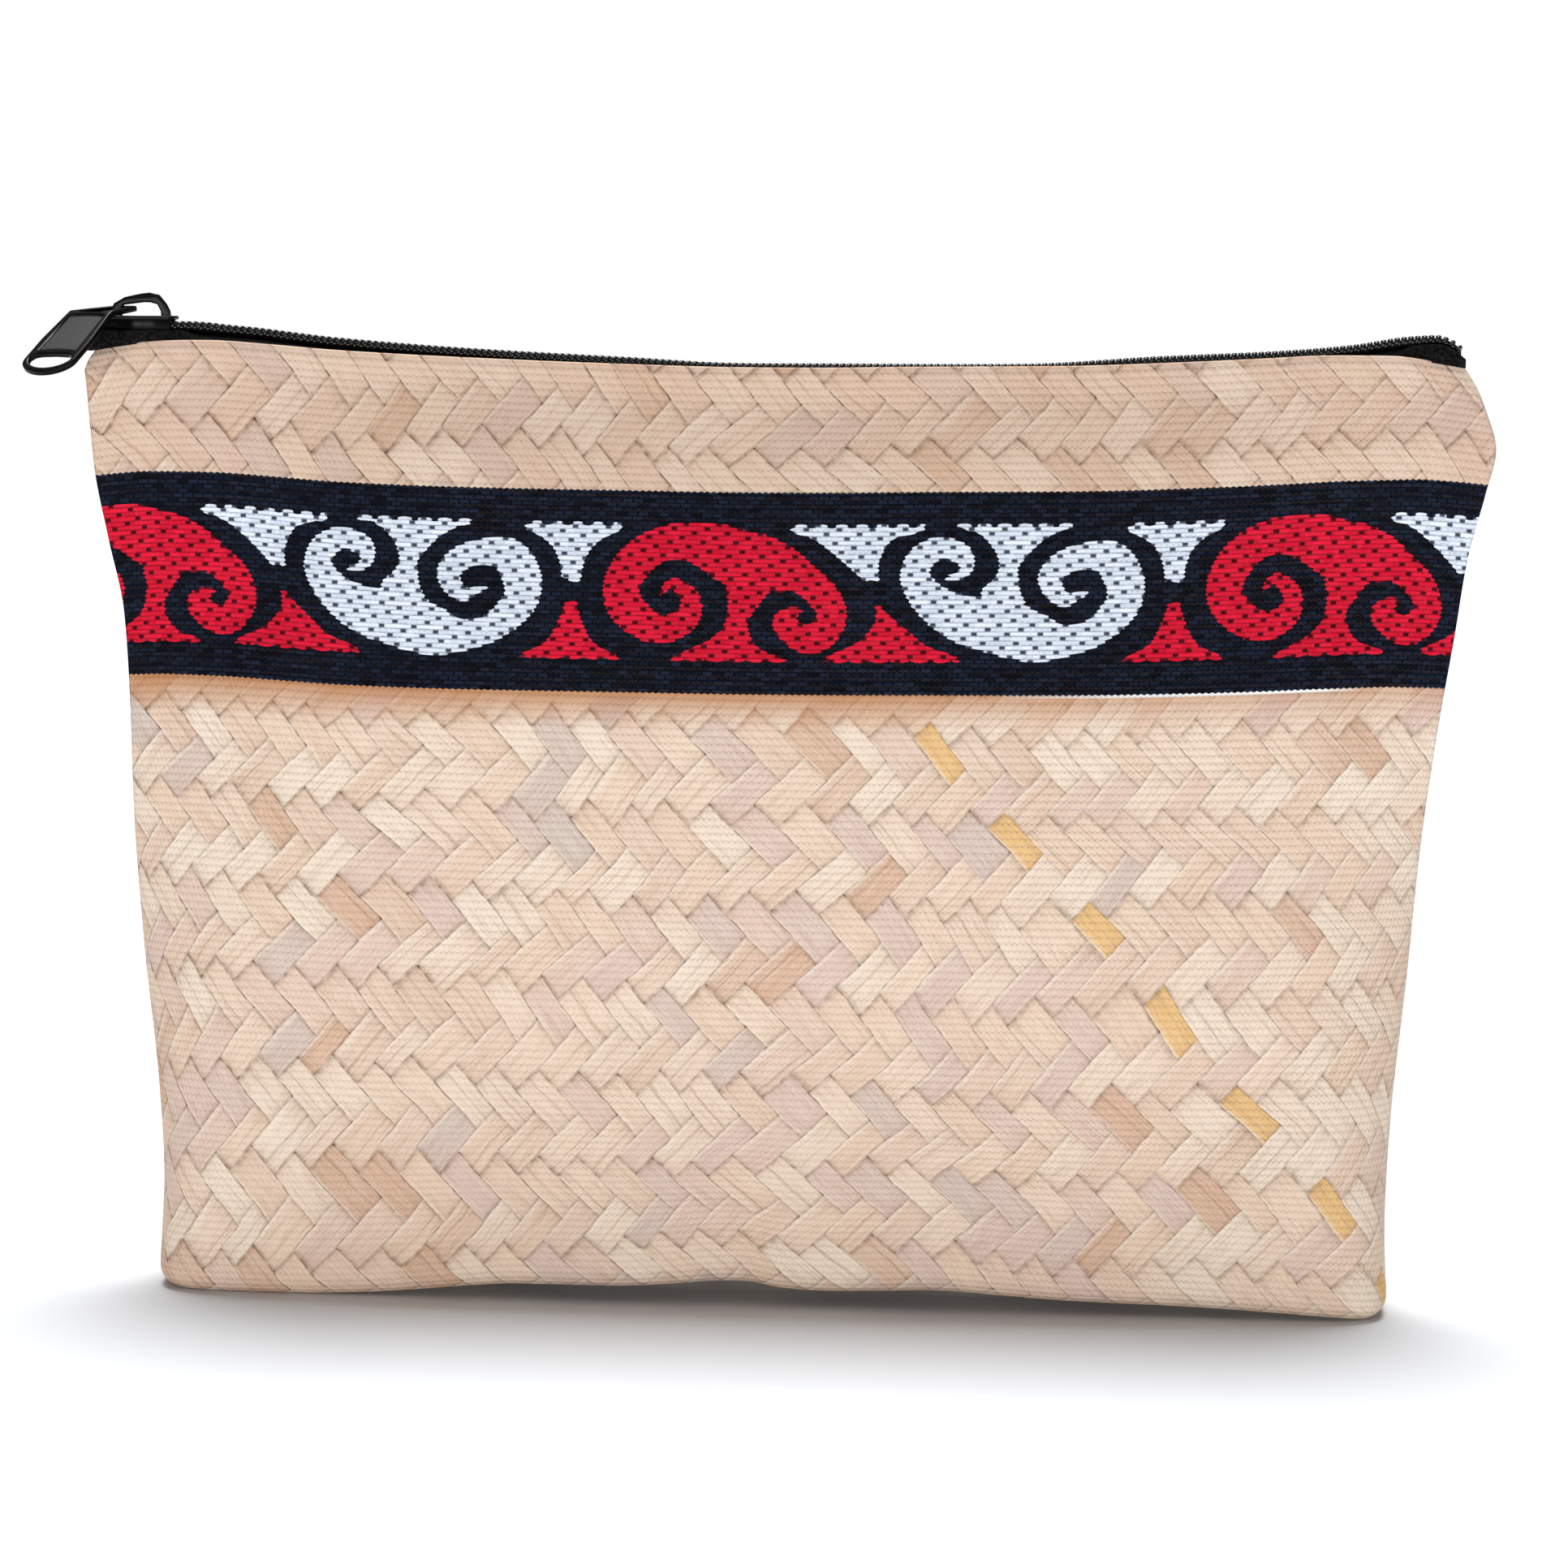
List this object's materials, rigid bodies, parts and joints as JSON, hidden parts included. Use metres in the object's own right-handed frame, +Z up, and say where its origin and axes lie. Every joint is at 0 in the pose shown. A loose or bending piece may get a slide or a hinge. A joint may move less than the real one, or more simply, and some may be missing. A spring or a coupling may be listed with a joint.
{
  "type": "zip pouch with a printed plaited pattern",
  "caption": "Flat-topped canvas zip pouch on a boxed base, with a printed plaited-flax pattern and a scrolling koru band, and a lifting pull tab.",
  "frame": {"origin": "on the floor under the middle of the whole, pull tab included", "axes": "+Z up; +X along the zip towards its closed end, away from the slider; -Y out of the front panel"},
  "size_m": [0.252, 0.044, 0.1706],
  "materials": {
    "printed_canvas": "matte woven canvas, printed with a flax plait and a koru band",
    "zip_tape": "matte woven black tape",
    "zip_teeth": "glossy black nylon",
    "black_metal": "glossy black enamel"
  },
  "bodies": {
    "pouch": {"front_panel": "printed_canvas", "back_panel": "printed_canvas", "zip_tape_front": "zip_tape", "zip_tape_back": "zip_tape", "zip_coil": "zip_teeth", "slider_body": "black_metal"},
    "pull": {"pull_tab": "black_metal"}
  },
  "joints": [
    {"name": "pull_lift", "type": "hinge", "parent": "pouch", "child": "pull", "pos_m": [-0.10983, 0.0016, 0.16773], "axis": [-0.827, 0.5621, -0.0134], "range_deg": [0, 33]}
  ]
}
